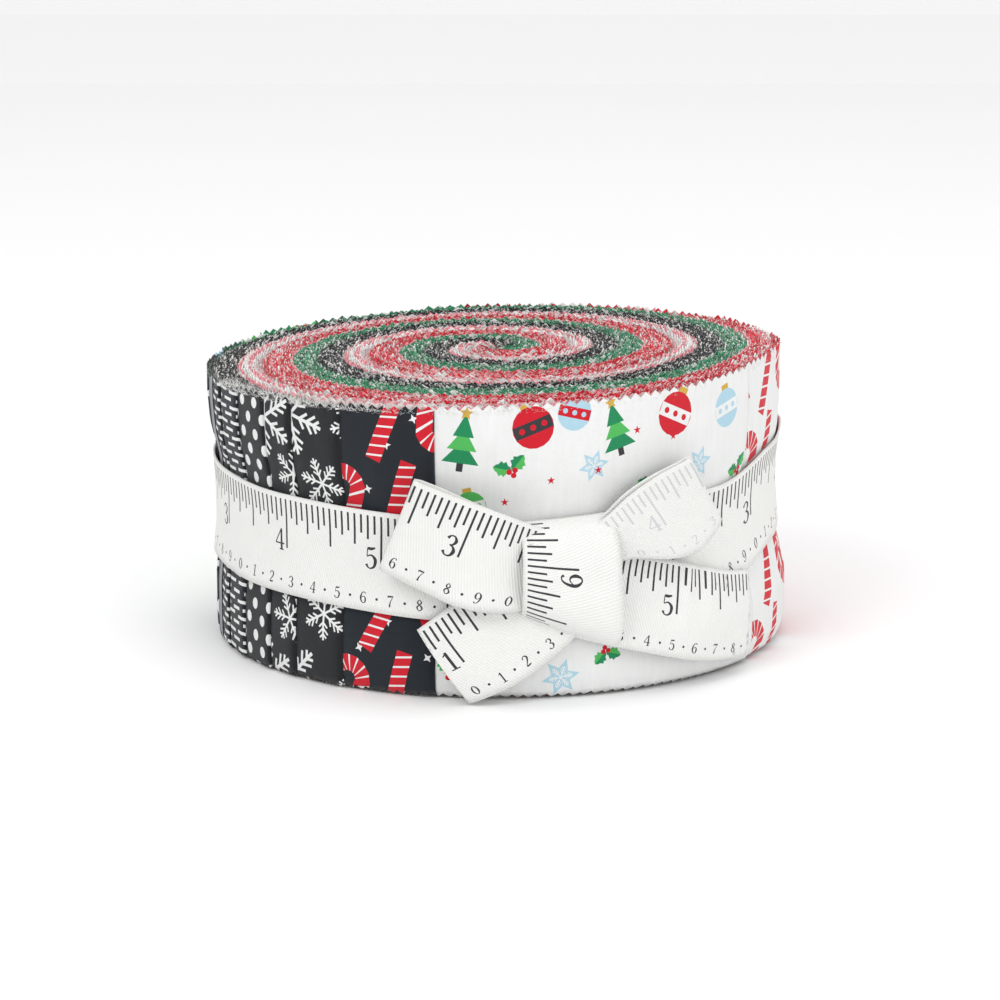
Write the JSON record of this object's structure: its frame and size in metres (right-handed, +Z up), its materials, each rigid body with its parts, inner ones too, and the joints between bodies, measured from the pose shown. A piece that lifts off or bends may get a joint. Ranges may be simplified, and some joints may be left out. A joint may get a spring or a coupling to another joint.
{
  "type": "jelly roll of fabric strips",
  "caption": "Drum-shaped roll of pinked printed cotton strips, wound in one spiral and tied round with a knotted tape that ends in loops and tails.",
  "frame": {"origin": "middle of the roll's flat base, where it stands", "axes": "+Z up along the roll's axis; the tape's bow faces -Y; +X to the right seen from the front"},
  "size_m": [0.1315, 0.1364, 0.067],
  "materials": {
    "printed_cotton": "printed quilting cotton, matt",
    "twill_tape": "cotton twill tape with printed rule marks"
  },
  "bodies": {
    "root": {"roll": "printed_cotton", "tie_tape": "twill_tape"}
  },
  "joints": []
}
